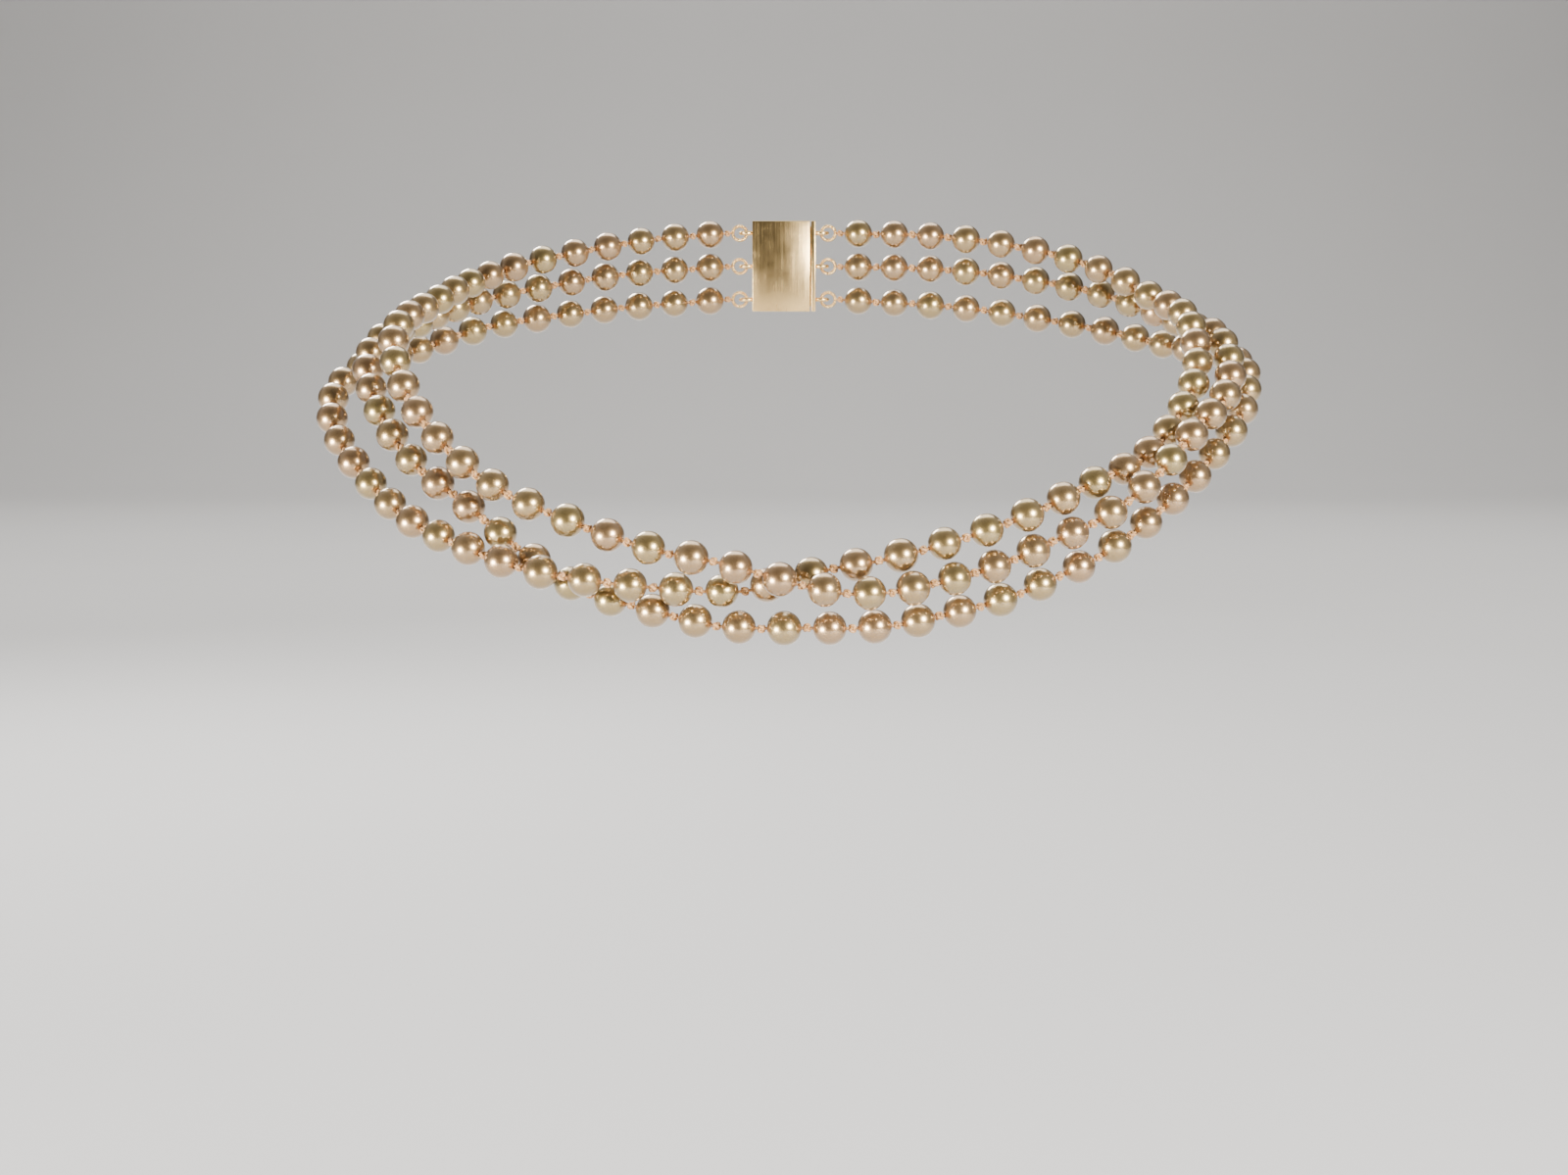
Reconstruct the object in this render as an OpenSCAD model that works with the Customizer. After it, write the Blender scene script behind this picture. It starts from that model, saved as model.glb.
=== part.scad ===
// Three-strand knotted pearl necklace with a three-ring box clasp.
// X runs across the wearer, the front is at -Y, Z is up.
// The origin is the middle of the neck opening. All lengths are in millimetres.

/* [Pearls] */
// Mean diameter of a pearl
pearl_d = 5.85; // [4:0.05:7]
// Largest difference of one pearl from the mean
pearl_spread = 0.1; // [0:0.01:0.2]
// Hole drilled through each pearl
bore_d = 0.9; // [0.5:0.05:1.2]

/* [Silk] */
// Diameter of the silk thread
thread_d = 0.55; // [0.3:0.05:0.8]
// Diameter of the knot between two pearls
knot_d = 1.3; // [0.9:0.05:1.6]
// Space left between a section's last knot and the next section's thread
hinge_gap = 0.2; // [0.1:0.05:0.5]

/* [Gimp loops] */
// Centre-line diameter of the gimp loop at each strand's end
gimp_loop_d = 3; // [2.4:0.1:3.6]
// Thickness of the gimp
gimp_d = 0.7; // [0.4:0.05:0.9]

/* [Clasp] */
// Distance between two strands at the clasp
ring_pitch = 7; // [6.5:0.1:9]
// Distance of the ring centres from the middle of the clasp
ring_x = 7.9; // [7.5:0.1:12]
// Centre-line diameter of a ring
ring_d = 2.6; // [2.2:0.1:3]
// Thickness of the ring wire
ring_wire = 0.8; // [0.5:0.05:1]
// Height of the clasp
clasp_height = 19; // [17:0.5:26]
// Thickness of the box
box_depth = 4; // [3.4:0.1:5]
// Thickness of the box walls
wall = 0.6; // [0.4:0.05:1]
// Thickness of the cover plate
cover_t = 0.6; // [0.4:0.05:1]
// Space between the box and the tongue's end plate
mouth_gap = 0.3; // [0.2:0.05:0.6]
// Thickness of the tongue's end plate
plate_t = 0.9; // [0.6:0.05:1.5]
// Thickness of the tongue's leaves
leaf_t = 0.45; // [0.3:0.05:0.6]
// Space above and below the tongue inside the box
leaf_gap = 0.5; // [0.3:0.05:1]
// Width of the thumb tab
tab_width = 3; // [2:0.1:4]

/* [Hidden] */
$fn = 48;
nape_y = 60;                      // the clasp's middle plane
clasp_z = 33;                     // height of the middle ring
steps = 12;                       // curve points between two route points
ring_z = [clasp_z + ring_pitch, clasp_z, clasp_z - ring_pitch];
box_left = 0.9 * ring_d / 2 - ring_x + 0.03;
box_right = ring_x - 0.9 * ring_d / 2 - 0.03 - plate_t - mouth_gap;
box_back = nape_y - box_depth / 2 - 0.1;
box_front = nape_y + box_depth / 2 - 0.1;
fold_x = box_left + 2.6;          // the tongue's folded tip
base_y = box_back + wall + 0.35;  // the fixed leaf's lower face
leaf_top = base_y + 2.1;          // the sprung leaf's upper edge at its free end
tab_x = box_right - 0.8;

// Each strand: left nape, left side, front, right side, right nape.
// Neighbouring sections share a point, and a knot stands there.
strand_1 = [
    [[-12, 60, 40], [-31, 55, 38], [-53, 43, 33], [-62, 30, 29], [-66, 17.5, 26]],
    [[-66, 17.5, 26], [-69, 7, 23], [-71, -2, 21.5], [-72, -12, 18.5], [-70.5, -23, 13],
     [-65, -35, 4], [-56, -44.5, -4.5], [-47, -51, -10]],
    [[-47, -51, -10], [-37, -54, -14], [-23, -59, -18.5], [-12, -61.5, -20.5],
     [-4, -62, -22.5], [7, -61.5, -25.5], [15, -61, -26], [23, -59, -25], [36, -54, -22],
     [46, -50.5, -18]],
    [[46, -50.5, -18], [57, -47, -13], [66.5, -42, -5.5], [73, -34, 1], [79, -26, 5.5],
     [82, -17, 10], [83, -8, 14], [82.5, 5, 18.5], [79, 17, 19.8]],
    [[79, 17, 19.8], [72, 31, 24], [58, 44, 28.5], [36, 54, 32], [12, 60, 33]]
];
strand_2 = [
    [[-12, 60, 33], [-35, 55, 31], [-58, 43, 26.5], [-68, 29, 23], [-73, 14.8, 19.5]],
    [[-73, 14.8, 19.5], [-77, 4, 17.5], [-78, -6, 13.5], [-76.5, -15, 9.5], [-72.5, -26, 3],
     [-65.5, -36.5, -5], [-55, -44, -12], [-46, -49, -19]],
    [[-46, -49, -19], [-37, -51, -25], [-30, -53, -28], [-23, -54.5, -29], [-16, -56, -31],
     [-8, -58, -32], [7, -58.5, -32], [15, -58, -32], [23, -56, -31], [37, -51.5, -28],
     [47.5, -48.5, -24]],
    [[47.5, -48.5, -24], [57, -45.5, -19.5], [67.5, -39, -12], [76.5, -29, -4.5],
     [84, -18, 3.5], [87, -4, 10.5], [87, 5, 13], [84, 15, 15]],
    [[84, 15, 15], [78, 31, 16], [63, 46, 20], [39, 55, 24], [12, 60, 26]]
];
strand_3 = [
    [[-12, 60, 26], [-36, 56, 24], [-61, 43, 20], [-74, 29, 15], [-80, 12, 13]],
    [[-80, 12, 13], [-84, 4, 9.5], [-85, -5, 6], [-83, -15, 0], [-76, -26, -7.5],
     [-66, -38.5, -15], [-55, -48.5, -19], [-45, -55, -22]],
    [[-45, -55, -22], [-34, -57, -24], [-19, -57.5, -25.5], [-11, -57, -26],
     [-4, -56.5, -25.5], [4, -56, -23], [11.5, -57, -21.5], [19.5, -57, -20],
     [34, -54, -16], [45, -50.5, -12]],
    [[45, -50.5, -12], [54, -44.5, -8], [64, -36, -4], [70, -28, 2], [75, -19, 8.5],
     [77, -9, 14.5], [77.5, 2, 20], [76.5, 11, 23], [74, 19, 24.5]],
    [[74, 19, 24.5], [66, 32, 30.5], [53, 43, 35.5], [33, 53, 39], [12, 60, 40]]
];
strands = [strand_1, strand_2, strand_3];

// Pearls in each section of each strand
counts = [[10, 11, 13, 12, 11], [11, 11, 13, 12, 12], [12, 12, 12, 12, 10]];

// The route through the points p: a smooth curve that passes every one of them.
function blend(a, b, c, d, t) =
    (2 * b + (c - a) * t + (2 * a - 5 * b + 4 * c - d) * t * t
    + (3 * b - a - 3 * c + d) * t * t * t) / 2;
function guide(p, i) =
    i < 0 ? 2 * p[0] - p[1]
    : i >= len(p) ? 2 * p[len(p) - 1] - p[len(p) - 2] : p[i];
function joined(s) =
    [for (part = s) for (i = [0 : len(part) - 2]) part[i], s[len(s) - 1][len(s[len(s) - 1]) - 1]];
function first(s, k) = k == 0 ? 0 : first(s, k - 1) + len(s[k - 1]) - 1;
function curve(s, k) =
    let (p = joined(s), a = first(s, k), b = first(s, k + 1))
    [for (i = [a : b - 1]) for (j = [0 : steps - 1])
        blend(guide(p, i - 1), p[i], p[i + 1], guide(p, i + 2), j / steps), p[b]];

// Knots at equal distances along the curve c.
function run(c) =
    [for (i = 0, s = 0; i < len(c); s = s + (i + 1 < len(c) ? norm(c[i + 1] - c[i]) : 0), i = i + 1) s];
function place(l, x, a, b) =
    b - a <= 1 ? a
    : let (m = floor((a + b) / 2)) l[m] <= x ? place(l, x, m, b) : place(l, x, a, m);
function at(c, l, x) =
    let (i = place(l, x, 0, len(l) - 1)) c[i] + (c[i + 1] - c[i]) * (x - l[i]) / (l[i + 1] - l[i]);
function knots(s, k) =
    let (c = curve(strands[s], k), l = run(c), n = counts[s][k])
    [for (i = [0 : n]) at(c, l, l[len(l) - 1] * i / n)];

// Turns a part that stands on Z so that it runs from a towards b.
module along(a, b) {
    v = b - a;
    translate(a) rotate([0, acos(v.z / norm(v)), atan2(v.y, v.x)]) children();
}

module pearl(d) {
    difference() {
        sphere(d = d);
        cylinder(d = bore_d, h = d + 1, center = true);
    }
}

// A knot lies with its poles across the thread.
module knot() {
    rotate([90, 0, 0]) sphere(d = knot_d);
}

// The pearls of strand s in section k, each midway between two knots.
module pearls(s, k) {
    p = knots(s, k);
    for (i = [0 : len(p) - 2])
        along(p[i], p[i + 1])
            translate([0, 0, norm(p[i + 1] - p[i]) / 2])
                pearl(pearl_d + pearl_spread * sin(137 * (i + 5 * k + 11 * s)));
}

// The silk of strand s in section k, with its knots. The front keeps both of its end knots,
// a side keeps the knot towards the nape, and a nape section keeps the one at the clasp.
module silk(s, k) {
    p = knots(s, k);
    n = len(p) - 1;
    from = k == 3 || k == 4 ? 1 : 0;
    to = k == 0 || k == 1 ? n - 1 : n;
    union() {
        for (i = [from : to]) along(p[i], p[i < n ? i + 1 : i - 1]) knot();
        for (i = [0 : n - 1]) {
            lead = i < from ? knot_d / 2 + hinge_gap : 0;
            tail = i + 1 > to ? knot_d / 2 + hinge_gap : 0;
            along(p[i], p[i + 1])
                translate([0, 0, lead])
                    cylinder(d = thread_d, h = norm(p[i + 1] - p[i]) - lead - tail);
        }
    }
}

module ring(d, wire) {
    rotate_extrude() translate([d / 2, 0]) circle(d = wire);
}

// Gimp loops hang upright in the clasp's rings, side = -1 for the left and 1 for the right.
module gimp_loops(side) {
    for (z = ring_z)
        translate([side * (ring_x + gimp_loop_d / 2), nape_y, z])
            rotate([90, 0, 0]) ring(gimp_loop_d, gimp_d);
}

// Three flat rings cut off flush with the face they are soldered to.
module clasp_rings(side) {
    for (z = ring_z)
        difference() {
            translate([side * ring_x, nape_y, z]) ring(ring_d, ring_wire);
            translate([side * (ring_x - 0.9 * ring_d / 2 - 0.03 - 2), nape_y, z])
                cube(4, center = true);
        }
}

// An upright bar of the clasp between x0 and x1, y0 and y1, h high about the middle ring.
module bar(x0, x1, y0, y1, h) {
    translate([x0, y0, clasp_z - h / 2]) cube([x1 - x0, y1 - y0, h]);
}

module strand_1_left_nape_pearls() { color("#d9c09a") pearls(0, 0); }
module strand_1_left_side_pearls() { color("#d9c09a") pearls(0, 1); }
module strand_1_front_pearls() { color("#d9c09a") pearls(0, 2); }
module strand_1_right_side_pearls() { color("#d9c09a") pearls(0, 3); }
module strand_1_right_nape_pearls() { color("#d9c09a") pearls(0, 4); }
module strand_2_left_nape_pearls() { color("#d4b78f") pearls(1, 0); }
module strand_2_left_side_pearls() { color("#d4b78f") pearls(1, 1); }
module strand_2_front_pearls() { color("#d4b78f") pearls(1, 2); }
module strand_2_right_side_pearls() { color("#d4b78f") pearls(1, 3); }
module strand_2_right_nape_pearls() { color("#d4b78f") pearls(1, 4); }
module strand_3_left_nape_pearls() { color("#dcc4a2") pearls(2, 0); }
module strand_3_left_side_pearls() { color("#dcc4a2") pearls(2, 1); }
module strand_3_front_pearls() { color("#dcc4a2") pearls(2, 2); }
module strand_3_right_side_pearls() { color("#dcc4a2") pearls(2, 3); }
module strand_3_right_nape_pearls() { color("#dcc4a2") pearls(2, 4); }

module strand_1_left_nape_silk() { color("#ecd2b2") silk(0, 0); }
module strand_1_left_side_silk() { color("#ecd2b2") silk(0, 1); }
module strand_1_front_silk() { color("#ecd2b2") silk(0, 2); }
module strand_1_right_side_silk() { color("#ecd2b2") silk(0, 3); }
module strand_1_right_nape_silk() { color("#ecd2b2") silk(0, 4); }
module strand_2_left_nape_silk() { color("#ecd2b2") silk(1, 0); }
module strand_2_left_side_silk() { color("#ecd2b2") silk(1, 1); }
module strand_2_front_silk() { color("#ecd2b2") silk(1, 2); }
module strand_2_right_side_silk() { color("#ecd2b2") silk(1, 3); }
module strand_2_right_nape_silk() { color("#ecd2b2") silk(1, 4); }
module strand_3_left_nape_silk() { color("#ecd2b2") silk(2, 0); }
module strand_3_left_side_silk() { color("#ecd2b2") silk(2, 1); }
module strand_3_front_silk() { color("#ecd2b2") silk(2, 2); }
module strand_3_right_side_silk() { color("#ecd2b2") silk(2, 3); }
module strand_3_right_nape_silk() { color("#ecd2b2") silk(2, 4); }

module left_gimp_loops() { color("#caa24c") gimp_loops(-1); }
module right_gimp_loops() { color("#caa24c") gimp_loops(1); }

// The box, open at its right end where the tongue goes in. The end wall above the mouth
// is the lip that the sprung leaf catches behind. A notch at the middle lets the tab through.
module clasp_shell() {
    color("#c9a24f")
    difference() {
        bar(box_left, box_right, box_back, box_front - cover_t, clasp_height);
        bar(box_left + wall, box_right - wall, box_back + wall, box_front,
            clasp_height - 2 * wall);
        bar(box_right - 2 * wall, box_right + 1, box_back + wall, leaf_top - 0.35,
            clasp_height - 2 * wall);
        bar(tab_x - 0.5, box_right + 1, box_back + wall, box_front + 1, tab_width + 1);
    }
}

// The cover closes the box on the side away from the neck. It has a raised border.
module clasp_cover() {
    color("#d2ad5a")
    difference() {
        union() {
            bar(box_left, box_right, box_front - cover_t, box_front, clasp_height);
            difference() {
                bar(box_left, box_right, box_front, box_front + 0.3, clasp_height);
                bar(box_left + 0.8, box_right - 0.8, box_front - 1, box_front + 1,
                    clasp_height - 1.6);
            }
        }
        bar(tab_x - 0.5, box_right + 1, box_back, box_front + 1, tab_width + 1);
    }
}

module box_rings() { color("#c9a24f") clasp_rings(-1); }

module tongue_plate() {
    color("#c9a24f")
    bar(box_right + mouth_gap, box_right + mouth_gap + plate_t, box_back, box_front,
        clasp_height);
}

// The fixed leaf stands on the end plate and reaches to the folded tip.
module tongue_leaf() {
    color("#cfa954")
    bar(fold_x + 0.6, box_right + mouth_gap, base_y, base_y + leaf_t,
        clasp_height - 2 * wall - 2 * leaf_gap);
}

module tongue_rings() { color("#c9a24f") clasp_rings(1); }

// The sprung leaf: a roll at the fold, a leaf that rises to the lip, and the thumb tab.
module tongue_spring() {
    h = clasp_height - 2 * wall - 2 * leaf_gap;
    end_x = box_right - wall - 0.4;
    color("#cfa954")
    union() {
        translate([fold_x, base_y + leaf_t, clasp_z - h / 2])
            cylinder(r = leaf_t, h = h);
        translate([0, 0, clasp_z - h / 2])
            linear_extrude(h)
                polygon([
                    [fold_x, base_y + leaf_t + 0.15],
                    [end_x, leaf_top - leaf_t],
                    [end_x, leaf_top],
                    [fold_x, base_y + 2 * leaf_t]
                ]);
        bar(end_x - 0.5, tab_x + 0.7, leaf_top - leaf_t + 0.05, leaf_top, tab_width);
        bar(tab_x, tab_x + 0.7, leaf_top - leaf_t + 0.05, box_front + 1.9, tab_width);
        bar(tab_x - 0.6, tab_x + 1.7, box_front + 1.4, box_front + 1.9, tab_width);
    }
}

strand_1_left_nape_pearls();
strand_1_left_side_pearls();
strand_1_front_pearls();
strand_1_right_side_pearls();
strand_1_right_nape_pearls();
strand_2_left_nape_pearls();
strand_2_left_side_pearls();
strand_2_front_pearls();
strand_2_right_side_pearls();
strand_2_right_nape_pearls();
strand_3_left_nape_pearls();
strand_3_left_side_pearls();
strand_3_front_pearls();
strand_3_right_side_pearls();
strand_3_right_nape_pearls();
strand_1_left_nape_silk();
strand_1_left_side_silk();
strand_1_front_silk();
strand_1_right_side_silk();
strand_1_right_nape_silk();
strand_2_left_nape_silk();
strand_2_left_side_silk();
strand_2_front_silk();
strand_2_right_side_silk();
strand_2_right_nape_silk();
strand_3_left_nape_silk();
strand_3_left_side_silk();
strand_3_front_silk();
strand_3_right_side_silk();
strand_3_right_nape_silk();
left_gimp_loops();
right_gimp_loops();
clasp_shell();
clasp_cover();
box_rings();
tongue_plate();
tongue_leaf();
tongue_rings();
tongue_spring();
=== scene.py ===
"""Three-strand knotted pearl necklace: the visible pieces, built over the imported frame."""

import math

import bmesh
import bpy
import numpy as np
from bpy.props import FloatProperty, FloatVectorProperty, IntProperty, PointerProperty
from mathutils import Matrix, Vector


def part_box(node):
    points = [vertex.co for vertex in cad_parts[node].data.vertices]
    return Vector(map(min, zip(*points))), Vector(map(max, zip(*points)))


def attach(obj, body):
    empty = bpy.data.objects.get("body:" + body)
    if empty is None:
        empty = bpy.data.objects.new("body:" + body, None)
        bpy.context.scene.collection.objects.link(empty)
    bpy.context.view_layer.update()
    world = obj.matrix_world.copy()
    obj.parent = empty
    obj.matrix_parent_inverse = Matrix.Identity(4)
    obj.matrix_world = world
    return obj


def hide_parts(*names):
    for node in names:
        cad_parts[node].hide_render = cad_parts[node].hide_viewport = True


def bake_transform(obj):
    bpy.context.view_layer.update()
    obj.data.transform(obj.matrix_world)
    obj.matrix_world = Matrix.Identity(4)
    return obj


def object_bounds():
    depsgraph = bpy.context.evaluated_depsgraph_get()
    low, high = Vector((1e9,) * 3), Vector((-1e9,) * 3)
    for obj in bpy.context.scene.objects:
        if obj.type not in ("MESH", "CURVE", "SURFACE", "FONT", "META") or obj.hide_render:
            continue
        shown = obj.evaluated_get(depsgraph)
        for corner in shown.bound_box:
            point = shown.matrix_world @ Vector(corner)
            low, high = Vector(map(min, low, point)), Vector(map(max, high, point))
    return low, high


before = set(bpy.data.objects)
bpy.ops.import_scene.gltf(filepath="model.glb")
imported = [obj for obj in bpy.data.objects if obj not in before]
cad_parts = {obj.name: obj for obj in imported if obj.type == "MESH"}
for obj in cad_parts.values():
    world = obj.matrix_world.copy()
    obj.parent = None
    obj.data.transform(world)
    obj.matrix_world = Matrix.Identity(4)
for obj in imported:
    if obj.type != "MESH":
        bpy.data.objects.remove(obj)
CAD_BOX = [list(corner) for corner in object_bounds()]

bl_info = {
    "name": "Pearl necklace",
    "version": (1, 0, 0),
    "blender": (4, 5, 0),
    "location": "View3D > Sidebar > Necklace",
    "description": "Builds the pearls, silk, gimp and clasp of a three-strand necklace",
    "category": "Object",
}

STRANDS = (1, 2, 3)
SECTIONS = ("left_nape", "left_side", "front", "right_side", "right_nape")
BODY = {"front": "necklace_front"}  # every other section's body has the section's name
MM = 0.001
BEAD_RADIUS = 2.92 * MM  # a middling pearl
THREAD_TUCK = 1.2 * MM  # how far a bending thread runs into the pearl at each end
END_GAP = 1.4 * MM  # room for the knot between a strand's end pearl and its gimp loop
USUAL_GAP = 1.75 * MM  # room for the knot between two pearls
KNOT_SCALES = (0.92, 1.1)  # the smallest and largest knot
KNOT_REACH = 1.55 * MM  # silk on each side of a knot's middle
LAST_KNOT_REACH = 0.3 * MM  # silk beyond a section's last knot
CORE_RADIUS = 0.28 * MM  # the silk through a knot
SHARP_ANGLE = math.radians(32)
BEVEL_ANGLE = math.radians(40)


def body_of(section):
    return BODY.get(section, section)


# ---------------------------------------------------------------- settings


class PearlSettings(bpy.types.PropertyGroup):
    blush: FloatVectorProperty(
        name="Blush", description="Colour of the pinkest pearls",
        default=(0.33, 0.20, 0.095), size=3, min=0, max=1, subtype="COLOR")
    champagne: FloatVectorProperty(
        name="Champagne", description="Colour of the greenest pearls",
        default=(0.30, 0.22, 0.08), size=3, min=0, max=1, subtype="COLOR")
    worn: FloatVectorProperty(
        name="Worn rim", description="Colour of the worn coat round a drill hole",
        default=(0.45, 0.24, 0.09), size=3, min=0, max=1, subtype="COLOR")
    cloud: FloatVectorProperty(
        name="Cloud", description="Colour of the faint clouds in the coat",
        default=(0.40, 0.28, 0.14), size=3, min=0, max=1, subtype="COLOR")
    rim: FloatVectorProperty(
        name="Bloom", description="Pale bloom at a pearl's edge",
        default=(1.0, 0.80, 0.66), size=3, min=0, max=1, subtype="COLOR")
    hole: FloatProperty(
        name="Drill hole", description="Diameter of the hole through a pearl",
        default=0.9 * MM, min=0.0005, max=0.0012, unit="LENGTH", subtype="DISTANCE")
    around: IntProperty(
        name="Faces around", description="Faces round a pearl", default=24, min=12, max=64)
    seed: IntProperty(name="Seed", description="Order of the pearls' tints", default=11, min=0)


class SilkSettings(bpy.types.PropertyGroup):
    colour: FloatVectorProperty(
        name="Silk", description="Colour of the silk",
        default=(0.48, 0.25, 0.085), size=3, min=0, max=1, subtype="COLOR")
    shade: FloatVectorProperty(
        name="Soiled silk", description="Colour of the silk where it is handled",
        default=(0.36, 0.17, 0.05), size=3, min=0, max=1, subtype="COLOR")
    # painted shade: the darker colour laid in the grooves between the silk's plies
    painted_groove_shade: FloatVectorProperty(
        name="Groove", description="Colour between the silk's plies",
        default=(0.36, 0.20, 0.10), size=3, min=0, max=1, subtype="COLOR")
    thickness: FloatProperty(
        name="Silk thickness", description="Diameter of the silk in a knot",
        default=0.5 * MM, min=0.0002, max=0.0008, unit="LENGTH", subtype="DISTANCE")
    knot_width: FloatProperty(
        name="Knot width", description="Width of a knot across the strand",
        default=1.65 * MM, min=0.001, max=0.002, unit="LENGTH", subtype="DISTANCE")
    seed: IntProperty(name="Seed", description="How the knots are turned", default=5, min=0)


class ClaspSettings(bpy.types.PropertyGroup):
    gold: FloatVectorProperty(
        name="Gold", description="Colour of the clasp",
        default=(0.83, 0.58, 0.25), size=3, min=0, max=1, subtype="COLOR")
    tarnish: FloatVectorProperty(
        name="Tarnish", description="Colour in the clasp's handled and sheltered places",
        default=(0.52, 0.33, 0.13), size=3, min=0, max=1, subtype="COLOR")
    edge: FloatProperty(
        name="Edge", description="Rounding of the clasp's edges",
        default=0.12 * MM, min=0, max=0.0002, unit="LENGTH", subtype="DISTANCE")
    gimp_wire: FloatProperty(
        name="Gimp wire", description="Thickness of the fine wire that the gimp is coiled from",
        default=0.16 * MM, min=0.0001, max=0.0003, unit="LENGTH", subtype="DISTANCE")


class StageSettings(bpy.types.PropertyGroup):
    floor: FloatVectorProperty(
        name="Floor", description="Colour of the floor",
        default=(0.62, 0.61, 0.60), size=3, min=0, max=1, subtype="COLOR")
    mottle: FloatVectorProperty(
        name="Mottle", description="Colour of the floor's faint clouds",
        default=(0.57, 0.56, 0.55), size=3, min=0, max=1, subtype="COLOR")
    drop: FloatProperty(
        name="Floor drop", description="Height of the lowest pearl over the floor",
        default=0.16, min=0, max=1, unit="LENGTH", subtype="DISTANCE")


# ---------------------------------------------------------------- reading the frame


def solids(node):
    """Vertices and triangle corners of each separate solid of a CAD node."""
    bm = bmesh.new()
    bm.from_mesh(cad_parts[node].data)
    bmesh.ops.remove_doubles(bm, verts=bm.verts, dist=1e-6)
    seen, found = set(), []
    for start in bm.faces:
        if start.index in seen:
            continue
        seen.add(start.index)
        todo, faces = [start], []
        while todo:
            face = todo.pop()
            faces.append([v.co.copy() for v in face.verts])
            for edge in face.edges:
                for other in edge.link_faces:
                    if other.index not in seen:
                        seen.add(other.index)
                        todo.append(other)
        found.append(np.array([[list(c) for c in corners] for corners in faces]))
    bm.free()
    return found


def pearl_of(triangles):
    """Centre, radius and drill axis of one pearl, from its triangles."""
    points = triangles.reshape(-1, 3)
    near = points.mean(0)
    local = points - near
    fit = np.linalg.lstsq(
        np.c_[2 * local, np.ones(len(local))], (local**2).sum(1), rcond=None)[0]
    centre = near + fit[:3]
    radius = math.sqrt(fit[3] + fit[:3] @ fit[:3])
    # only the hole's wall lies this far inside the sphere
    deep = np.linalg.norm(triangles.mean(1) - centre, axis=1) < 0.8 * radius
    wall = triangles[deep].reshape(-1, 3) - centre
    axis = np.linalg.svd(wall, full_matrices=False)[2][0]
    return centre, radius, axis


def read_strand(strand):
    """The strand's pearls in order from the left nape to the right, their axes pointing along."""
    left = [
        (*pearl_of(t), section)
        for section in SECTIONS
        for t in solids(f"strand_{strand}_{section}_pearls")
    ]
    start = max((p for p in left if p[3] == "left_nape"), key=lambda p: p[0][0])
    order = [start]
    left = [p for p in left if p is not start]
    while left:
        here = order[-1][0]
        k = min(range(len(left)), key=lambda i: np.linalg.norm(left[i][0] - here))
        order.append(left.pop(k))
    turned = []
    for i, (centre, radius, axis, section) in enumerate(order):
        ahead = order[min(i + 1, len(order) - 1)][0] - order[max(i - 1, 0)][0]
        turned.append((centre, radius, axis if axis @ ahead > 0 else -axis, section))
    return turned


def knots_of(pearls):
    """The knots of a strand (centre, direction, gap, section, whether it is the section's last)
    and the threads that run across from one section to the next (path, section, next section)."""
    front = SECTIONS.index("front")
    found, crossings = [], []
    for before, after in zip(pearls, pearls[1:]):
        a, a_radius, a_axis, a_section = before
        b, b_radius, b_axis, b_section = after
        crosses = a_section != b_section
        apart = np.linalg.norm(b - a)
        centre = (a + a_axis * apart / 2 + b - b_axis * apart / 2) / 2
        along = (a_axis + b_axis) / np.linalg.norm(a_axis + b_axis)
        # a knot between two sections belongs to the one nearer the front
        owner, other = sorted(
            (a_section, b_section), key=lambda section: abs(SECTIONS.index(section) - front))
        if crosses and owner == b_section:
            along = -along
            a, a_radius, a_axis, b, b_radius, b_axis = b, b_radius, -b_axis, a, a_radius, -a_axis
        found.append((centre, along, apart - a_radius - b_radius, owner, float(crosses)))
        if crosses:
            path = [
                a + a_axis * (a_radius - THREAD_TUCK),
                a + a_axis * a_radius,
                centre,
                b - b_axis * b_radius,
                b - b_axis * (b_radius - THREAD_TUCK),
            ]
            crossings.append((path, owner, other))
    for end, inward in ((0, 1), (-1, -2)):
        centre, _, axis, section = pearls[end]
        half = np.linalg.norm(pearls[inward][0] - centre) / 2
        out = -axis if end == 0 else axis
        found.append((centre + out * half, out, END_GAP, section, 0.0))
    return found, crossings


ROUTE = {strand: read_strand(strand) for strand in STRANDS}
KNOTS = {strand: knots_of(ROUTE[strand]) for strand in STRANDS}


# ---------------------------------------------------------------- meshes


def new_object(name, mesh):
    obj = bpy.data.objects.new(name, mesh)
    bpy.context.scene.collection.objects.link(obj)
    return obj


def mesh_from(name, verts, faces, uvs=None):
    mesh = bpy.data.meshes.new(name)
    mesh.from_pydata([tuple(v) for v in verts], [], faces)
    if uvs is not None:
        layer = mesh.uv_layers.new(name="UVMap")
        for loop in mesh.loops:
            layer.data[loop.index].uv = uvs[loop.vertex_index]
    mesh.shade_smooth()
    mesh.update()
    return mesh


def drop_object(obj):
    mesh = obj.data
    bpy.data.objects.remove(obj)
    bpy.data.meshes.remove(mesh)


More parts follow.
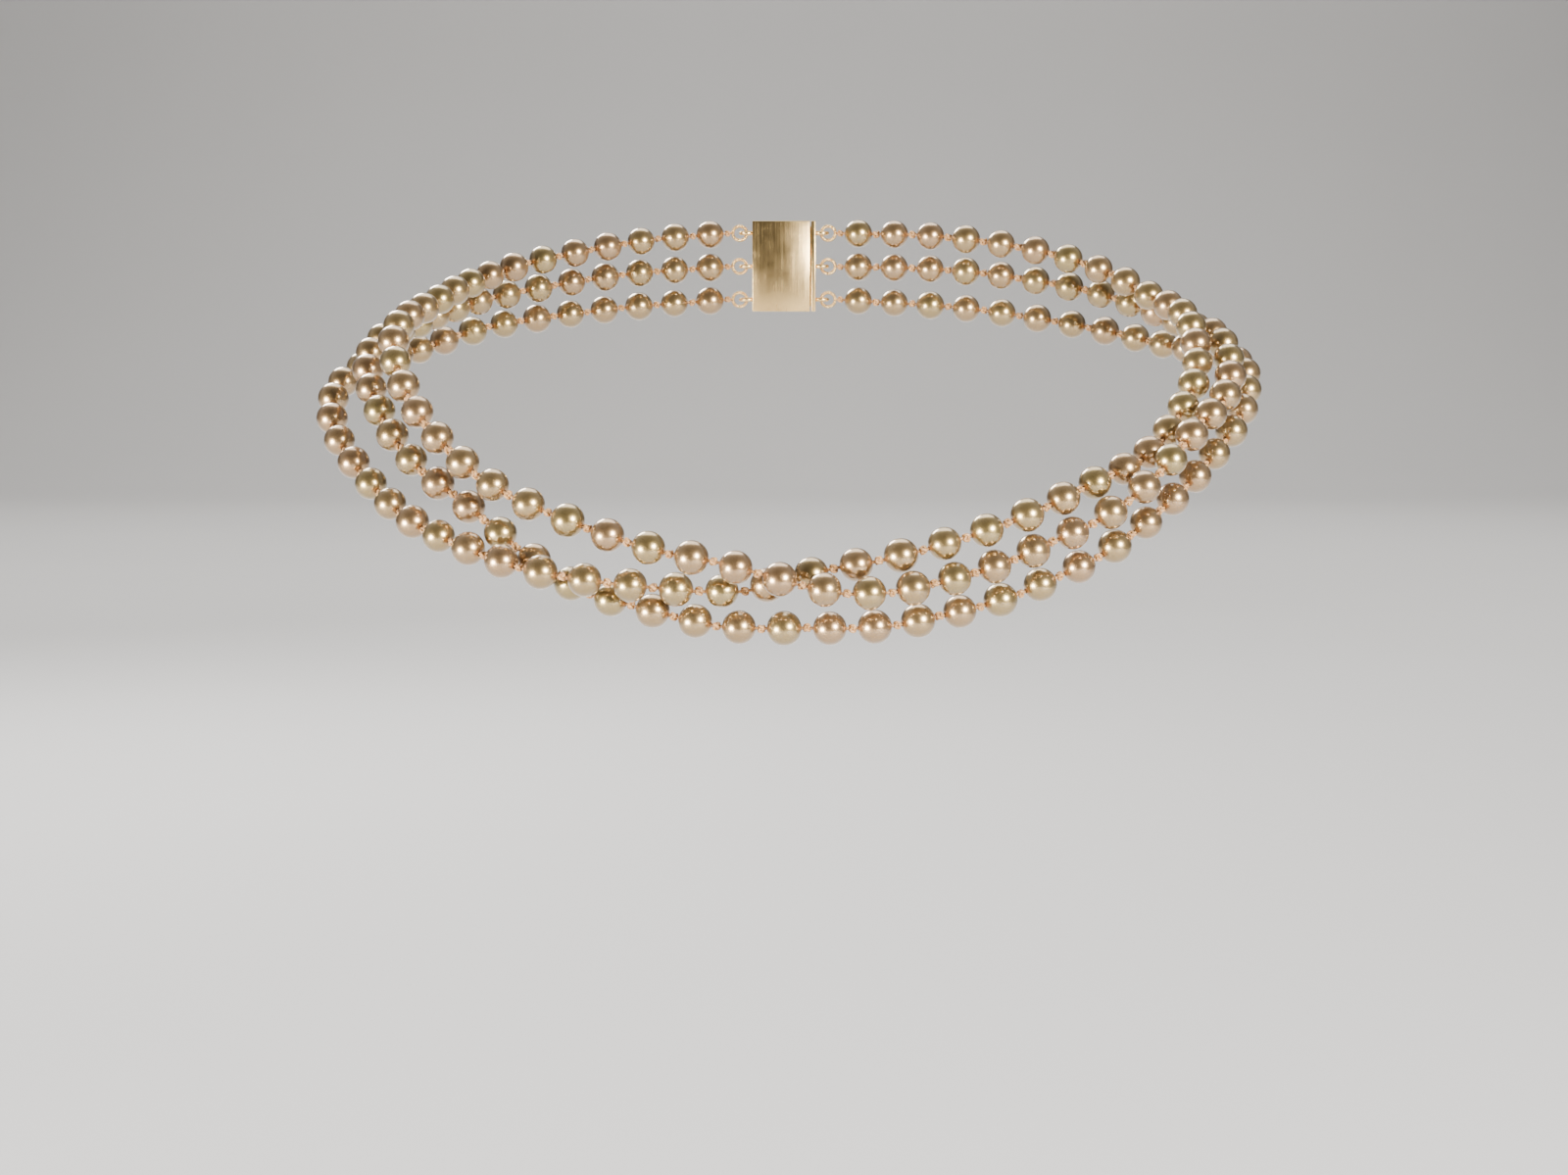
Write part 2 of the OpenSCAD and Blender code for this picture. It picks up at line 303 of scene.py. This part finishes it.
def bead_mesh(settings):
    """A pearl one metre in radius about Z, drilled through, with a small worn lip at each hole.

    Its profile is a list of (radius, height, wear), and angles are from the drill axis."""
    rim = math.asin(settings.hole / 2 / BEAD_RADIUS)
    lip, worn_band, spans = 0.05, 0.5, 12
    first, mouth = rim + lip, rim + 0.4 * lip
    wall, edge, sink = 0.2, 0.03, 0.006  # how far the first three points lie under the sphere
    tilts = [first + (math.pi - 2 * first) * (i / spans) for i in range(spans + 1)]
    profile = [
        (math.sin(rim), math.cos(rim) - wall, 1.0),
        (math.sin(rim), math.cos(rim) - edge, 1.0),
        (math.sin(mouth), math.cos(mouth) - sink, 1.0),
    ]
    for tilt in tilts:
        near = min(tilt, math.pi - tilt) - rim
        profile.append((math.sin(tilt), math.cos(tilt), max(0.0, 1 - near / worn_band) ** 2))
    profile += [(radius, -z, wear) for radius, z, wear in reversed(profile[:3])]
    n, m = settings.around, len(profile)
    verts, worn = [], []
    for radius, z, wear in profile:
        for i in range(n):
            turn = 2 * math.pi * i / n
            verts.append((radius * math.cos(turn), radius * math.sin(turn), z))
            worn.append(wear)
    faces = []
    for j in range(m):
        for i in range(n):
            a, b = j * n + i, j * n + (i + 1) % n
            c, d = ((j + 1) % m) * n + (i + 1) % n, ((j + 1) % m) * n + i
            faces.append((d, c, b, a))
    mesh = mesh_from("bead", verts, faces)
    mesh.attributes.new("worn", "FLOAT", "POINT").data.foreach_set("value", worn)
    return mesh


def tube(path, radius, sides, closed, shift=0):
    """Vertices, faces and UVs of a tube along a path. U counts diameters along it, V goes round.

    Shift is added to the vertex numbers in the faces, so that the tube can follow another."""
    path = np.array(path, float)
    n = len(path)
    ahead = np.roll(path, -1, 0) - np.roll(path, 1, 0)
    if not closed:
        ahead[0], ahead[-1] = path[1] - path[0], path[-1] - path[-2]
    ahead /= np.linalg.norm(ahead, axis=1)[:, None]
    side = np.cross(ahead[0], (0.3, 0.2, 0.9))
    verts, uvs, far = [], [], 0.0
    for i in range(n):
        side = side - (side @ ahead[i]) * ahead[i]
        side /= np.linalg.norm(side)
        up = np.cross(ahead[i], side)
        for k in range(sides):
            turn = 2 * math.pi * k / sides
            verts.append(path[i] + radius * (math.cos(turn) * side + math.sin(turn) * up))
            uvs.append((far, k / sides))
        far += np.linalg.norm(path[(i + 1) % n] - path[i]) / (2 * radius)
    faces = []
    for i in range(n if closed else n - 1):
        for k in range(sides):
            a, b = i * sides + k, i * sides + (k + 1) % sides
            c, d = ((i + 1) % n) * sides + (k + 1) % sides, ((i + 1) % n) * sides + k
            faces.append(tuple(shift + v for v in (a, b, c, d)))
    if not closed:
        faces.append(tuple(shift + k for k in reversed(range(sides))))
        faces.append(tuple(shift + (n - 1) * sides + k for k in range(sides)))
    return verts, faces, uvs


def knot_mesh(name, settings, above):
    """An overhand knot pulled tight about Z, on silk that reaches above over it, in metres."""
    silk = settings.thickness / 2
    size = (settings.knot_width / 2 - silk) / 3
    height, rings, sides = 0.42 * MM, 27, 6
    turns = [2 * math.pi * i / rings for i in range(rings)]
    loop = [
        (size * (math.sin(t) + 2 * math.sin(2 * t)),
         size * (math.cos(t) - 2 * math.cos(2 * t)),
         -height * math.sin(3 * t))
        for t in turns
    ]
    verts, faces, uvs = tube(loop, silk, sides, True)
    core_rings, core_sides = 4, 8
    core = [(0, 0, z) for z in np.linspace(-KNOT_REACH, above, core_rings)]
    more = tube(core, CORE_RADIUS, core_sides, False, shift=len(verts))
    return mesh_from(name, verts + more[0], faces + more[1], uvs + more[2])


def winding_mesh(wire, radius):
    """One turn of fine wire about Z."""
    rings, sides, middle = 12, 5, radius - wire / 2
    turns = [2 * math.pi * i / rings for i in range(rings)]
    ring = [(middle * math.cos(t), middle * math.sin(t), 0) for t in turns]
    verts, faces, uvs = tube(ring, wire / 2, sides, True)
    return mesh_from("winding", verts, faces, uvs)


# ---------------------------------------------------------------- geometry nodes


def strung_tree():
    """Stands a shape on every point, its Z along the point's axis, and turns it about that axis."""
    tree = bpy.data.node_groups.new("Strung along silk", "GeometryNodeTree")
    put = tree.interface.new_socket
    put("Geometry", in_out="INPUT", socket_type="NodeSocketGeometry")
    put("Shape", in_out="INPUT", socket_type="NodeSocketObject")
    put("Last shape", in_out="INPUT", socket_type="NodeSocketObject")
    put("Material", in_out="INPUT", socket_type="NodeSocketMaterial")
    put("Turn", in_out="INPUT", socket_type="NodeSocketFloat").subtype = "ANGLE"
    put("Seed", in_out="INPUT", socket_type="NodeSocketInt")
    put("Geometry", in_out="OUTPUT", socket_type="NodeSocketGeometry")
    node, link = tree.nodes.new, tree.links.new
    given, out = node("NodeGroupInput"), node("NodeGroupOutput")

    def value_of(name, kind):
        named = node("GeometryNodeInputNamedAttribute")
        named.data_type = kind
        named.inputs["Name"].default_value = name
        return named

    axis, size, last = (value_of(*pair) for pair in (
        ("axis", "FLOAT_VECTOR"), ("size", "FLOAT"), ("last", "BOOLEAN")))
    aligned = node("FunctionNodeAlignRotationToVector")
    aligned.axis = "Z"
    link(axis.outputs["Attribute"], aligned.inputs["Vector"])
    chance = node("FunctionNodeRandomValue")
    chance.data_type = "FLOAT"
    chance.inputs["Min"].default_value = 0
    link(given.outputs["Turn"], chance.inputs["Max"])
    link(given.outputs["Seed"], chance.inputs["Seed"])
    spin = node("FunctionNodeAxisAngleToRotation")
    spin.inputs["Axis"].default_value = (0, 0, 1)
    link(chance.outputs["Value"], spin.inputs["Angle"])
    turned = node("FunctionNodeRotateRotation")
    turned.rotation_space = "LOCAL"
    link(aligned.outputs["Rotation"], turned.inputs["Rotation"])
    link(spin.outputs["Rotation"], turned.inputs["Rotate By"])
    others = node("FunctionNodeBooleanMath")
    others.operation = "NOT"
    link(last.outputs["Attribute"], others.inputs[0])
    together = node("GeometryNodeJoinGeometry")
    for name, chosen in (("Shape", others.outputs[0]), ("Last shape", last.outputs["Attribute"])):
        shape = node("GeometryNodeObjectInfo")
        link(given.outputs[name], shape.inputs["Object"])
        stand = node("GeometryNodeInstanceOnPoints")
        link(given.outputs["Geometry"], stand.inputs["Points"])
        link(chosen, stand.inputs["Selection"])
        link(shape.outputs["Geometry"], stand.inputs["Instance"])
        link(turned.outputs["Rotation"], stand.inputs["Rotation"])
        link(size.outputs["Attribute"], stand.inputs["Scale"])
        link(stand.outputs["Instances"], together.inputs["Geometry"])
    real = node("GeometryNodeRealizeInstances")
    link(together.outputs["Geometry"], real.inputs["Geometry"])
    dressed = node("GeometryNodeSetMaterial")
    link(real.outputs["Geometry"], dressed.inputs["Geometry"])
    link(given.outputs["Material"], dressed.inputs["Material"])
    link(dressed.outputs["Geometry"], out.inputs["Geometry"])
    return tree


def strung(name, points, shape, last_shape, material, turn, seed):
    """A piece made of copies of a shape, one on each (place, axis, size, tint, last) point."""
    tree = bpy.data.node_groups.get("Strung along silk") or strung_tree()
    mesh = bpy.data.meshes.new(name + "_points")
    mesh.from_pydata([tuple(p[0]) for p in points], [], [])
    mesh.attributes.new("axis", "FLOAT_VECTOR", "POINT").data.foreach_set(
        "vector", np.array([p[1] for p in points], np.float32).ravel())
    for k, label, kind, as_kind in (
        (2, "size", "FLOAT", float), (3, "tint", "FLOAT", float), (4, "last", "BOOLEAN", bool)
    ):
        mesh.attributes.new(label, kind, "POINT").data.foreach_set(
            "value", [as_kind(p[k]) for p in points])
    carrier = new_object(name + "_carrier", mesh)
    changer = carrier.modifiers.new("strung", "NODES")
    changer.node_group = tree
    values = {
        "Shape": shape, "Last shape": last_shape, "Material": material, "Turn": turn, "Seed": seed}
    for item in tree.interface.items_tree:
        if item.in_out == "INPUT" and item.name in values:
            changer[item.identifier] = values[item.name]
    bpy.context.view_layer.update()
    graph = bpy.context.evaluated_depsgraph_get()
    made = bpy.data.meshes.new_from_object(
        carrier.evaluated_get(graph), preserve_all_data_layers=True, depsgraph=graph)
    if len(made.polygons) == 0:
        raise RuntimeError(f"{name} came out empty")
    carrier.modifiers.remove(changer)
    drop_object(carrier)
    made.name = name
    piece = new_object(name, made)
    piece.data.shade_smooth()
    return piece


# ---------------------------------------------------------------- materials


def group_socket(group, name, kind, into, value=None):
    made = group.interface.new_socket(name, in_out=into, socket_type=kind)
    if value is not None:
        made.default_value = value


def mix_colour(nodes, links, factor, a, b):
    """Blends two colours by a socket. Each colour is a socket or red, green and blue."""
    mix = nodes.new("ShaderNodeMix")
    mix.data_type = "RGBA"
    links.new(factor, mix.inputs[0])
    for value, place in ((a, 6), (b, 7)):
        if isinstance(value, bpy.types.NodeSocket):
            links.new(value, mix.inputs[place])
        else:
            mix.inputs[place].default_value = (*value, 1)
    return mix.outputs[2]


def ramp(nodes, links, value, low, high, to_low=0.0, to_high=1.0):
    """Spreads a value that runs from low to high over to_low to to_high, held at the ends."""
    span = nodes.new("ShaderNodeMapRange")
    links.new(value, span.inputs["Value"])
    for name, number in (
        ("From Min", low), ("From Max", high), ("To Min", to_low), ("To Max", to_high)
    ):
        span.inputs[name].default_value = number
    return span.outputs["Result"]


def cloudy_group():
    """Soft cloudy unevenness and a fine grain, both from 0 to 1."""
    group = bpy.data.node_groups.get("Cloudy coat")
    if group:
        return group
    group = bpy.data.node_groups.new("Cloudy coat", "ShaderNodeTree")
    group_socket(group, "Clouds per metre", "NodeSocketFloat", "INPUT", 300.0)
    group_socket(group, "Grain per metre", "NodeSocketFloat", "INPUT", 6000.0)
    group_socket(group, "Clouds", "NodeSocketFloat", "OUTPUT")
    group_socket(group, "Grain", "NodeSocketFloat", "OUTPUT")
    nodes, links = group.nodes, group.links
    given, out = nodes.new("NodeGroupInput"), nodes.new("NodeGroupOutput")
    place = nodes.new("ShaderNodeTexCoord")
    for name, per, detail in (
        ("Clouds", "Clouds per metre", 2.0), ("Grain", "Grain per metre", 3.0)
    ):
        noise = nodes.new("ShaderNodeTexNoise")
        noise.inputs["Detail"].default_value = detail
        links.new(place.outputs["Object"], noise.inputs["Vector"])
        links.new(given.outputs[per], noise.inputs["Scale"])
        links.new(ramp(nodes, links, noise.outputs["Fac"], 0.3, 0.7), out.inputs[name])
    return group


def start_material(name):
    material = bpy.data.materials.new(name)
    material.use_nodes = True
    nodes, links = material.node_tree.nodes, material.node_tree.links
    return material, nodes, links, nodes["Principled BSDF"]


def cloudy(nodes, clouds, grain):
    uneven = nodes.new("ShaderNodeGroup")
    uneven.node_tree = cloudy_group()
    uneven.inputs["Clouds per metre"].default_value = clouds
    uneven.inputs["Grain per metre"].default_value = grain
    return uneven


def bump(nodes, links, height, strength, distance):
    lift = nodes.new("ShaderNodeBump")
    lift.inputs["Strength"].default_value = strength
    lift.inputs["Distance"].default_value = distance
    links.new(height, lift.inputs["Height"])
    return lift.outputs["Normal"]


def pearl_coat(settings):
    """Pearl essence under clear lacquer, each pearl its own tint, worn brown at the holes."""
    material, nodes, links, shader = start_material("pearl_coat")
    tint = nodes.new("ShaderNodeAttribute")
    tint.attribute_name = "tint"
    worn = nodes.new("ShaderNodeAttribute")
    worn.attribute_name = "worn"
    uneven = cloudy(nodes, 260.0, 9000.0)
    colour = mix_colour(nodes, links, tint.outputs["Fac"], settings.blush, settings.champagne)
    clouded = mix_colour(
        nodes, links, ramp(nodes, links, uneven.outputs["Clouds"], 0, 1, 0.0, 0.22),
        colour, settings.cloud)
    edge = mix_colour(
        nodes, links, ramp(nodes, links, worn.outputs["Fac"], 0, 1, 0.0, 0.75),
        clouded, settings.worn)
    links.new(edge, shader.inputs["Base Color"])
    rough = ramp(nodes, links, uneven.outputs["Grain"], 0, 1, 0.26, 0.32)
    links.new(rough, shader.inputs["Roughness"])
    shader.inputs["Metallic"].default_value = 0.93
    shader.inputs["Specular IOR Level"].default_value = 0.6
    shader.inputs["Coat Weight"].default_value = 1.0
    shader.inputs["Coat Roughness"].default_value = 0.045
    shader.inputs["Coat IOR"].default_value = 1.55
    shader.inputs["Sheen Weight"].default_value = 0.08
    shader.inputs["Sheen Roughness"].default_value = 0.35
    shader.inputs["Sheen Tint"].default_value = (*settings.rim, 1)
    links.new(bump(nodes, links, uneven.outputs["Grain"], 0.03, 0.00002), shader.inputs["Normal"])
    return material


def knotted_silk(settings):
    """Two-ply silk: slanting plies with painted shade in the grooves between them, a little soiled
    in clouds.
    """
    material, nodes, links, shader = start_material("knotted_silk")
    where = nodes.new("ShaderNodeUVMap")
    where.uv_map = "UVMap"
    slant = nodes.new("ShaderNodeMapping")
    slant.inputs["Scale"].default_value = (1.0, 2.0, 1.0)
    links.new(where.outputs["UV"], slant.inputs["Vector"])
    plies = nodes.new("ShaderNodeTexWave")
    plies.bands_direction = "DIAGONAL"
    plies.inputs["Scale"].default_value = 0.32
    plies.inputs["Distortion"].default_value = 0.4
    links.new(slant.outputs["Vector"], plies.inputs["Vector"])
    uneven = cloudy(nodes, 900.0, 14000.0)
    soiled = mix_colour(
        nodes, links, ramp(nodes, links, uneven.outputs["Clouds"], 0, 1, 0.0, 0.6),
        settings.colour, settings.shade)
    # painted shade: darkens the grooves, the low parts of the plies' bump
    with_painted_groove_shade = mix_colour(
        nodes, links, ramp(nodes, links, plies.outputs["Fac"], 0, 1, 0.45, 0.0),
        soiled, settings.painted_groove_shade)
    links.new(with_painted_groove_shade, shader.inputs["Base Color"])
    shader.inputs["Roughness"].default_value = 0.4
    shader.inputs["Sheen Weight"].default_value = 0.12
    shader.inputs["Sheen Roughness"].default_value = 0.4
    shader.inputs["Sheen Tint"].default_value = (1.0, 0.86, 0.72, 1)
    links.new(bump(nodes, links, plies.outputs["Fac"], 0.7, 0.00012), shader.inputs["Normal"])
    return material


def gold_tone(name, settings, brushed, grain_scale):
    """Plated metal with fine lines along the clasp's height, and clouds of tarnish.

    Brushed is how rough the lines are, and grain_scale is how many lines a metre has."""
    material, nodes, links, shader = start_material(name)
    uneven = cloudy(nodes, 350.0, 5000.0)
    place = nodes.new("ShaderNodeTexCoord")
    lines = nodes.new("ShaderNodeMapping")
    lines.inputs["Scale"].default_value = (grain_scale, grain_scale, grain_scale / 40)
    links.new(place.outputs["Object"], lines.inputs["Vector"])
    scratch = nodes.new("ShaderNodeTexNoise")
    scratch.inputs["Scale"].default_value = 1.0
    scratch.inputs["Detail"].default_value = 3.0
    links.new(lines.outputs["Vector"], scratch.inputs["Vector"])
    colour = mix_colour(
        nodes, links, ramp(nodes, links, uneven.outputs["Clouds"], 0, 1, 0.0, 0.25),
        settings.gold, settings.tarnish)
    links.new(colour, shader.inputs["Base Color"])
    shader.inputs["Metallic"].default_value = 1.0
    rough = nodes.new("ShaderNodeMath")
    rough.operation = "ADD"
    links.new(ramp(nodes, links, uneven.outputs["Clouds"], 0, 1, 0.17, 0.23), rough.inputs[0])
    links.new(ramp(nodes, links, scratch.outputs["Fac"], 0.3, 0.7, 0.0, brushed), rough.inputs[1])
    links.new(rough.outputs["Value"], shader.inputs["Roughness"])
    links.new(bump(nodes, links, scratch.outputs["Fac"], brushed, 0.00003), shader.inputs["Normal"])
    return material


# ---------------------------------------------------------------- clasp pieces


def refined(name, node, width):
    """The CAD node's shape as one closed mesh with its edges rounded."""
    bm = bmesh.new()
    bm.from_mesh(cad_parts[node].data)
    bmesh.ops.remove_doubles(bm, verts=bm.verts, dist=2e-6)
    bmesh.ops.dissolve_limit(
        bm, angle_limit=math.radians(1), verts=bm.verts, edges=bm.edges, delimit={"NORMAL"})
    mesh = bpy.data.meshes.new(name)
    bm.to_mesh(mesh)
    bm.free()
    piece = new_object(name, mesh)
    if width:
        round_off = piece.modifiers.new("rounded edges", "BEVEL")
        round_off.width, round_off.segments = width, 2
        round_off.limit_method, round_off.angle_limit = "ANGLE", BEVEL_ANGLE
        bpy.context.view_layer.update()
        graph = bpy.context.evaluated_depsgraph_get()
        done = bpy.data.meshes.new_from_object(piece.evaluated_get(graph), depsgraph=graph)
        piece.modifiers.remove(round_off)
        piece.data = done
        bpy.data.meshes.remove(mesh)
    piece.data.name = name
    piece.data.shade_smooth()
    piece.data.set_sharp_from_angle(angle=SHARP_ANGLE)
    return piece


def hand_over(piece, body, nodes):
    """Hides the CAD nodes that a finished piece stands for, and gives the piece its body."""
    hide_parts(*nodes)
    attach(piece, body)


# ---------------------------------------------------------------- operators


class NECKLACE_OT_pearls(bpy.types.Operator):
    """Strings the drilled pearls of every section"""

    bl_idname = "necklace.pearls"
    bl_label = "Pearls"

    def execute(self, context):
        settings = context.scene.necklace_pearls
        chance = np.random.default_rng(settings.seed)
        material = pearl_coat(settings)
        bead = new_object("bead", bead_mesh(settings))
        for section in SECTIONS:
            points = [
                (centre, axis, radius, chance.random(), 0)
                for strand in STRANDS
                for centre, radius, axis, where in ROUTE[strand]
                if where == section
            ]
            piece = strung(
                f"{section}_pearls", points, bead, bead, material, 2 * math.pi, settings.seed)
            hand_over(piece, body_of(section),
                      [f"strand_{s}_{section}_pearls" for s in STRANDS])
        drop_object(bead)
        return {"FINISHED"}


class NECKLACE_OT_silk(bpy.types.Operator):
    """Ties the silk knots between the pearls of every section"""

    bl_idname = "necklace.silk"
    bl_label = "Knotted silk"

    def execute(self, context):
        settings = context.scene.necklace_silk
        chance = np.random.default_rng(settings.seed)
        material = knotted_silk(settings)
        knot = new_object("knot", knot_mesh("knot", settings, KNOT_REACH))
        last_knot = new_object("last_knot", knot_mesh("last_knot", settings, LAST_KNOT_REACH))
        smallest, largest = KNOT_SCALES
        for section in SECTIONS:
            points = [
                (centre, along, min(largest, max(smallest, gap / USUAL_GAP)), chance.random(), last)
                for strand in STRANDS
                for centre, along, gap, where, last in KNOTS[strand][0]
                if where == section
            ]
            piece = strung(
                f"{section}_silk", points, knot, last_knot, material, 2 * math.pi, settings.seed)
            hand_over(piece, body_of(section),
                      [f"strand_{s}_{section}_silk" for s in STRANDS])
        drop_object(knot)
        drop_object(last_knot)
        for strand in STRANDS:
            for path, near, far in KNOTS[strand][1]:
                name = f"strand_{strand}_{near}_to_{far}_thread"
                path = [Vector(p) for p in path]
                steps, sides = 4, 10
                fine = [a.lerp(b, t / steps) for a, b in zip(path, path[1:]) for t in range(steps)]
                verts, faces, uvs = tube([*fine, path[-1]], settings.thickness / 2, sides, False)
                thread = new_object(name, mesh_from(name, verts, faces, uvs))
                thread.data.materials.append(material)
                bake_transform(thread)
        return {"FINISHED"}


class NECKLACE_OT_gimp(bpy.types.Operator):
    """Coils the gimp loops that join the strands to the clasp's rings"""

    bl_idname = "necklace.gimp"
    bl_label = "Gimp loops"

    def execute(self, context):
        settings = context.scene.necklace_clasp
        material = gold_tone("gimp_wire", settings, 0.1, 9000.0)
        for side in ("left", "right"):
            node = f"{side}_gimp_loops"
            low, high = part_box(node)
            thick = (high.y - low.y) / 2
            loop = (high.x - low.x) / 2 - thick
            winding = new_object("winding", winding_mesh(settings.gimp_wire, thick))
            centre = (low + high) / 2
            heights = (low.z + loop + thick, centre.z, high.z - loop - thick)
            pitch = 0.95 * settings.gimp_wire
            turns = round(2 * math.pi * loop / pitch)
            points = [
                ((centre.x + loop * math.cos(t), centre.y, z + loop * math.sin(t)),
                 (-math.sin(t), 0, math.cos(t)), 1.0, 0.5, 0)
                for z in heights
                for t in (2 * math.pi * i / turns for i in range(turns))
            ]
            piece = strung(node + "_coil", points, winding, winding, material, 0.0, 0)
            hand_over(piece, f"{side}_nape", [node])
            drop_object(winding)
        return {"FINISHED"}


class NECKLACE_OT_clasp(bpy.types.Operator):
    """Finishes the box, its cover and rings, and the tongue with its sprung leaf"""

    bl_idname = "necklace.clasp"
    bl_label = "Box clasp"

    def execute(self, context):
        settings = context.scene.necklace_clasp
        polished = gold_tone("polished_gold_tone", settings, 0.08, 4000.0)
        satin = gold_tone("brushed_gold_tone", settings, 0.35, 9000.0)
        leaf = gold_tone("leaf_spring", settings, 0.2, 7000.0)
        for name, node, body, width, material, slot in (
            ("box_shell", "clasp_shell", "clasp_box", settings.edge, polished, "clasp_gold"),
            ("box_cover", "clasp_cover", "clasp_box", settings.edge, satin, "clasp_gold"),
            ("box_side_rings", "box_rings", "clasp_box", 0, polished, "clasp_gold"),
            ("tongue_end_plate", "tongue_plate", "clasp_tongue", settings.edge, polished,
             "clasp_gold"),
            ("tongue_fixed_leaf", "tongue_leaf", "clasp_tongue", settings.edge / 2, leaf,
             "spring_gold"),
            ("tongue_side_rings", "tongue_rings", "clasp_tongue", 0, polished, "clasp_gold"),
            ("tongue_sprung_leaf", "tongue_spring", "tongue_tab", settings.edge / 4, leaf,
             "spring_gold"),
        ):
            piece = refined(name, node, width)
            piece.data.materials.clear()
            piece.data.materials.append(material)
            hand_over(piece, body, [node])
        return {"FINISHED"}


def facing(place, aim):
    """The turn that points a lamp or a camera from a place at its aim."""
    return (Vector(aim) - Vector(place)).to_track_quat("-Z", "Y").to_euler()


def soft_light(name, place, aim, width, power, colour, spread=180):
    lamp = bpy.data.lights.new(name, "AREA")
    lamp.shape, lamp.size, lamp.energy, lamp.color = "DISK", width, power, colour
    lamp.spread = math.radians(spread)
    obj = bpy.data.objects.new(name, lamp)
    bpy.context.scene.collection.objects.link(obj)
    obj.location = place
    obj.rotation_euler = facing(place, aim)


class NECKLACE_OT_stage(bpy.types.Operator):
    """Sets the floor, the camera and the lights"""

    bl_idname = "necklace.stage"
    bl_label = "Stage"

    def execute(self, context):
        settings = context.scene.necklace_stage
        scene = context.scene
        z = CAD_BOX[0][2] - settings.drop
        # floor and backdrop in one sweep
        front, back, side, bend, wall, steps = -6.0, 3.5, 16.0, 0.8, 5.0, 12
        curve = [math.pi / 2 * i / steps for i in range(1, steps + 1)]
        profile = [(front, z), (back, z)]
        profile += [(back + bend * math.sin(a), z + bend - bend * math.cos(a)) for a in curve]
        profile += [(back + bend, z + wall)]
        verts = [(x, y, h) for y, h in profile for x in (-side, side)]
        faces = [(2 * i, 2 * i + 1, 2 * i + 3, 2 * i + 2) for i in range(len(profile) - 1)]
        floor = new_object("floor", mesh_from("floor", verts, faces))
        material, nodes, links, shader = start_material("pale_paper")
        uneven = cloudy(nodes, 3.0, 400.0)
        paper = mix_colour(
            nodes, links, ramp(nodes, links, uneven.outputs["Clouds"], 0, 1, 0, 0.2),
            settings.floor, settings.mottle)
        links.new(paper, shader.inputs["Base Color"])
        shader.inputs["Roughness"].default_value = 0.95
        floor.data.materials.append(material)

        # the camera looks at the middle of the front strands
        aim = Vector((0, -0.060, -0.025))
        tilt, away = math.radians(5), 0.43
        camera = bpy.data.objects.new("camera", bpy.data.cameras.new("camera"))
        scene.collection.objects.link(camera)
        camera.location = aim + away * Vector((0, -math.cos(tilt), math.sin(tilt)))
        camera.rotation_euler = facing(camera.location, aim)
        camera.data.sensor_width, camera.data.lens = 36, 58.8
        camera.data.clip_start = 0.01
        scene.camera = camera

        def from_front(turn, lift, far):
            """A place that far from the aim, turned to the right of the front and lifted."""
            a, e = math.radians(turn), math.radians(lift)
            out = Vector((math.sin(a) * math.cos(e), -math.cos(a) * math.cos(e), math.sin(e)))
            return aim + far * out

        for name, place, width, power, colour in (
            ("left_softbox", from_front(-53, -7, 0.75), 0.31, 24.0, (1.0, 0.97, 0.94)),
            ("right_softbox", from_front(39, 15, 0.75), 0.27, 21.0, (1.0, 0.98, 0.96)),
            ("rear_softbox", from_front(205, 32, 1.3), 0.45, 14.0, (1.0, 0.99, 0.97)),
        ):
            soft_light(name, place, aim, width, power, colour)
        soft_light("back_softbox", (0, 2.0, 2.4), (0, 2.2, z), 3.0, 75.0, (1.0, 0.99, 0.97), 140)

        world = bpy.data.worlds.new("studio")
        world.use_nodes = True
        scene.world = world
        nodes, links = world.node_tree.nodes, world.node_tree.links
        # dim in front and light behind in the pearls' reflections, even where the camera sees it
        where = nodes.new("ShaderNodeTexCoord")
        split = nodes.new("ShaderNodeSeparateXYZ")
        links.new(where.outputs["Generated"], split.inputs["Vector"])
        seen = nodes.new("ShaderNodeLightPath")
        strength = nodes.new("ShaderNodeMix")
        links.new(seen.outputs["Is Camera Ray"], strength.inputs[0])
        links.new(ramp(nodes, links, split.outputs["Y"], -0.6, 0.3, 0.04, 0.6), strength.inputs[2])
        strength.inputs[3].default_value = 0.55
        links.new(strength.outputs[0], nodes["Background"].inputs["Strength"])
        nodes["Background"].inputs["Color"].default_value = (1.0, 0.98, 0.96, 1)
        return {"FINISHED"}


OPERATORS = (NECKLACE_OT_pearls, NECKLACE_OT_silk, NECKLACE_OT_gimp, NECKLACE_OT_clasp,
             NECKLACE_OT_stage)
SETTINGS = {
    "necklace_pearls": PearlSettings,
    "necklace_silk": SilkSettings,
    "necklace_clasp": ClaspSettings,
    "necklace_stage": StageSettings,
}


class NECKLACE_PT_panel(bpy.types.Panel):
    """Settings and pieces of the necklace"""

    bl_idname = "NECKLACE_PT_panel"
    bl_label = "Pearl necklace"
    bl_space_type = "VIEW_3D"
    bl_region_type = "UI"
    bl_category = "Necklace"

    def draw(self, context):
        for name, kind in SETTINGS.items():
            box = self.layout.box()
            group = getattr(context.scene, name)
            for prop in kind.__annotations__:
                box.prop(group, prop)
        for operator in OPERATORS:
            self.layout.operator(operator.bl_idname)


def register():
    for kind in (*SETTINGS.values(), *OPERATORS, NECKLACE_PT_panel):
        bpy.utils.register_class(kind)
    for name, kind in SETTINGS.items():
        setattr(bpy.types.Scene, name, PointerProperty(type=kind))


def unregister():
    for name in SETTINGS:
        delattr(bpy.types.Scene, name)
    for kind in (NECKLACE_PT_panel, *OPERATORS, *SETTINGS.values()):
        bpy.utils.unregister_class(kind)


def main():
    register()
    bpy.ops.necklace.pearls()
    bpy.ops.necklace.silk()
    bpy.ops.necklace.gimp()
    bpy.ops.necklace.clasp()
    bpy.ops.necklace.stage()


if __name__ == "__main__":
    main()
